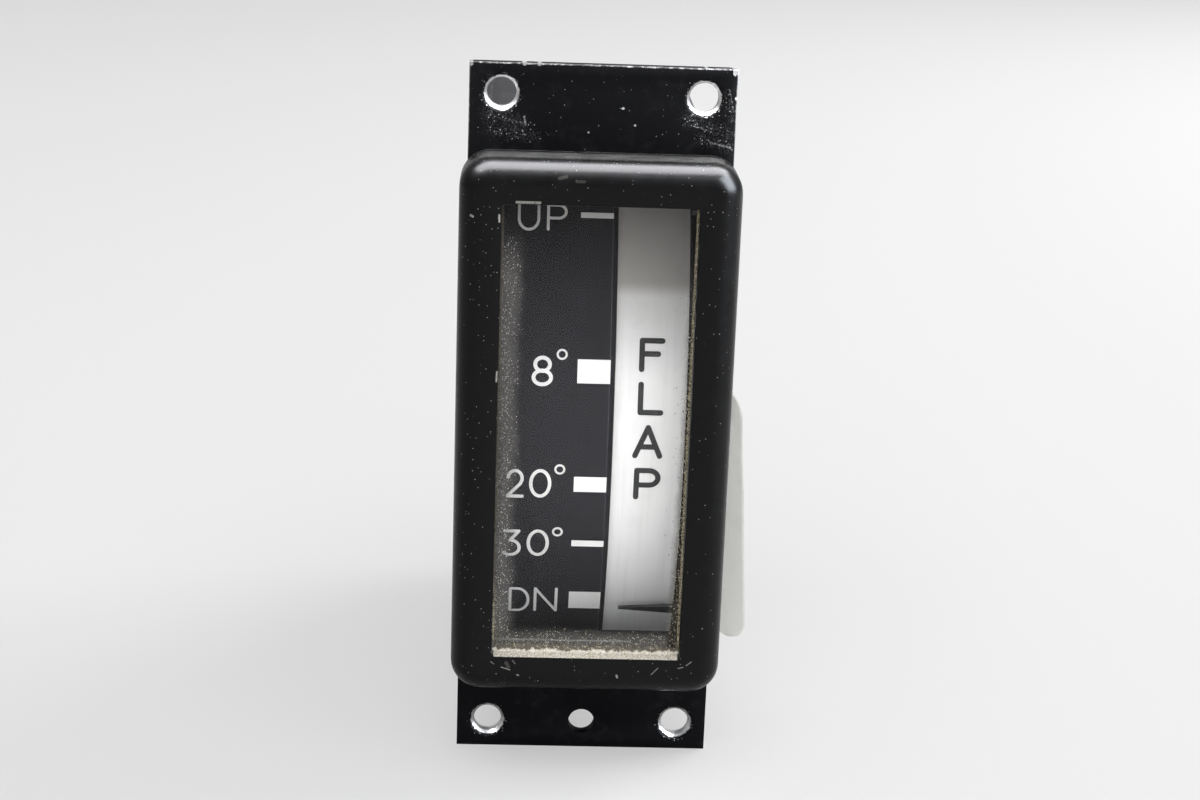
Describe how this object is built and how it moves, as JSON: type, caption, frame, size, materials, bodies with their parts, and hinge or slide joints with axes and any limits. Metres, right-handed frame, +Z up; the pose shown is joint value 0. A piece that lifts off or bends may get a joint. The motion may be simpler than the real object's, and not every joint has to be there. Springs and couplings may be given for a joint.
{
  "type": "flap position indicator",
  "caption": "Edgewise panel instrument with a curved flap scale, a moving-coil pointer behind glass and a flanged front for panel mounting.",
  "frame": {"origin": "middle of the four mounting holes, on the flange's rear face that meets the panel", "axes": "+X to the right seen from the front, +Y into the panel so that the window faces -Y, +Z up along the scale"},
  "size_m": [0.0378, 0.0855, 0.0876],
  "materials": {
    "black_enamel": "worn satin black finish on an aluminium plate, bare at edges and screw holes",
    "bezel_black": "semi-gloss black over a cast aluminium frame, dusty",
    "case_black": "satin black over thin drawn aluminium",
    "clear_glass": "flat clear glass with grit along its edges",
    "aged_sealant": "yellowed gritty sealant",
    "gasket_rubber": "matt black rubber",
    "dial_black": "matt black paint on thin sheet, white printed scale blocks",
    "dial_white": "matt white paint on thin sheet",
    "pointer_black": "matt black painted aluminium",
    "bare_aluminium": "plain milled and bent sheet",
    "soft_iron": "turned grey iron",
    "bright_steel": "plated screw steel",
    "plain_brass": "machined brass",
    "copper_wire": "lacquered copper winding",
    "label_paper": "plain cream paper label, loose at its front edge",
    "board_laminate": "brown laminate"
  },
  "bodies": {
    "instrument": {"mounting_plate": "black_enamel", "bezel": "bezel_black", "window_glass": "clear_glass", "sealant_bead": "aged_sealant", "glass_gasket": "gasket_rubber", "glass_retainer": "bare_aluminium", "bezel_screws": "bright_steel", "case_gasket": "gasket_rubber", "case_shell": "case_black", "rear_cover": "case_black", "cover_screws": "bright_steel", "side_label": "label_paper", "dial_plate": "dial_black", "pointer_background": "dial_white", "dial_carrier": "dial_black", "dial_screws": "bright_steel", "carrier_screws": "bright_steel", "stop_pins": "bright_steel", "chassis_plate": "bare_aluminium", "chassis_screws": "bright_steel", "yoke_ring": "soft_iron", "core_magnet": "soft_iron", "core_spacers": "plain_brass", "left_bridge": "plain_brass", "right_bridge": "plain_brass", "movement_screws": "bright_steel", "left_jewel_screw": "plain_brass", "right_jewel_screw": "plain_brass", "left_lock_nut": "bright_steel", "right_lock_nut": "bright_steel", "left_hairspring": "plain_brass", "right_hairspring": "plain_brass", "left_spring_tag": "plain_brass", "right_spring_tag": "plain_brass", "terminal_board": "board_laminate", "terminal_studs": "plain_brass", "terminal_washers": "bright_steel", "terminal_nuts": "plain_brass", "board_screws": "bright_steel"},
    "moving_system": {"coil_former": "bare_aluminium", "coil_winding": "copper_wire", "left_staff": "bright_steel", "right_staff": "bright_steel", "pointer": "pointer_black", "balance_weights": "plain_brass"}
  },
  "joints": [
    {"name": "pointer_swing", "type": "hinge", "parent": "instrument", "child": "moving_system", "pos_m": [0, 0.0484, -0.0022], "axis": [-1, 0, 0], "range_deg": [0, 62.5], "stiffness_Nm_per_rad": 0.0001, "springref_deg": -11.46}
  ]
}
